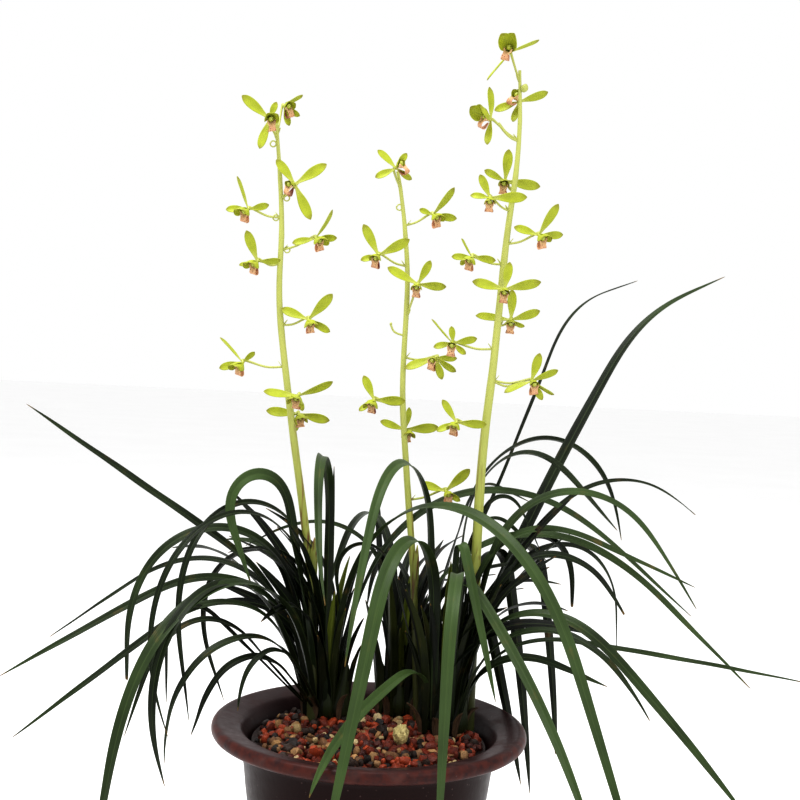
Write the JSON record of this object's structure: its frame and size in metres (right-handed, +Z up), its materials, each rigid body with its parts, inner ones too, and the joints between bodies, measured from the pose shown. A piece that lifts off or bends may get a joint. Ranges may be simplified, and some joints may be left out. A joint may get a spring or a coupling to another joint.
{
  "type": "potted orchid",
  "caption": "Potted slender-leaved orchid: arching strap leaves and upright spikes of small yellow-green flowers in a wide-rimmed dark glazed pot of gravel.",
  "frame": {"origin": "centre of the pot's flat base, on the surface it stands on", "axes": "+Z up along the pot's axis, -Y towards the viewer, +X to the viewer's right"},
  "size_m": [0.5685, 0.3925, 0.7113],
  "materials": {
    "dark_glaze": "semi-gloss brown-purple glaze, redder and shinier on the lip",
    "potting_gravel": "damp mixed gravel: orange-red baked clay, tan pumice and dark bark",
    "pale_pumice": "rough pale pumice",
    "sheath": "waxy leaf sheaths, drying brown at the foot",
    "leaf": "satin leathery green with fine parallel veins",
    "flower_stem": "smooth pale yellow-green",
    "petal": "soft yellow-green tepals with a pale base",
    "lip": "pinkish cream lip with brown-red spots"
  },
  "bodies": {
    "root": {"pot": "dark_glaze", "potting_gravel": "potting_gravel", "pumice_stone": "pale_pumice", "left_shoot": "sheath", "right_shoot": "sheath", "rear_shoot": "sheath", "left_flower_spike": "flower_stem", "middle_flower_spike": "flower_stem", "right_flower_spike": "flower_stem", "left_leaf_1": "leaf", "left_leaf_2": "leaf", "left_leaf_3": "leaf", "left_leaf_4": "leaf", "left_leaf_5": "leaf", "left_leaf_6": "leaf", "left_leaf_7": "leaf", "left_leaf_8": "leaf", "left_leaf_9": "leaf", "right_leaf_1": "leaf", "right_leaf_2": "leaf", "right_leaf_3": "leaf", "right_leaf_4": "leaf", "right_leaf_5": "leaf", "right_leaf_6": "leaf", "right_leaf_7": "leaf", "right_leaf_8": "leaf", "right_leaf_9": "leaf", "rear_leaf_1": "leaf", "rear_leaf_2": "leaf", "rear_leaf_3": "leaf", "left_flower_1": "petal", "left_flower_2": "petal", "left_flower_3": "petal", "left_flower_4": "petal", "left_flower_5": "petal", "left_flower_6": "petal", "left_flower_7": "petal", "left_flower_8": "petal", "left_flower_9": "petal", "left_flower_10": "petal", "middle_flower_1": "petal", "middle_flower_2": "petal", "middle_flower_3": "petal", "middle_flower_4": "petal", "middle_flower_5": "petal", "middle_flower_6": "petal", "middle_flower_7": "petal", "middle_flower_8": "petal", "right_flower_1": "petal", "right_flower_2": "petal", "right_flower_3": "petal", "right_flower_4": "petal", "right_flower_5": "petal", "right_flower_6": "petal", "right_flower_7": "petal", "right_flower_8": "petal", "right_flower_9": "petal", "right_flower_10": "petal", "right_flower_11": "petal", "right_flower_12": "petal"}
  },
  "joints": []
}
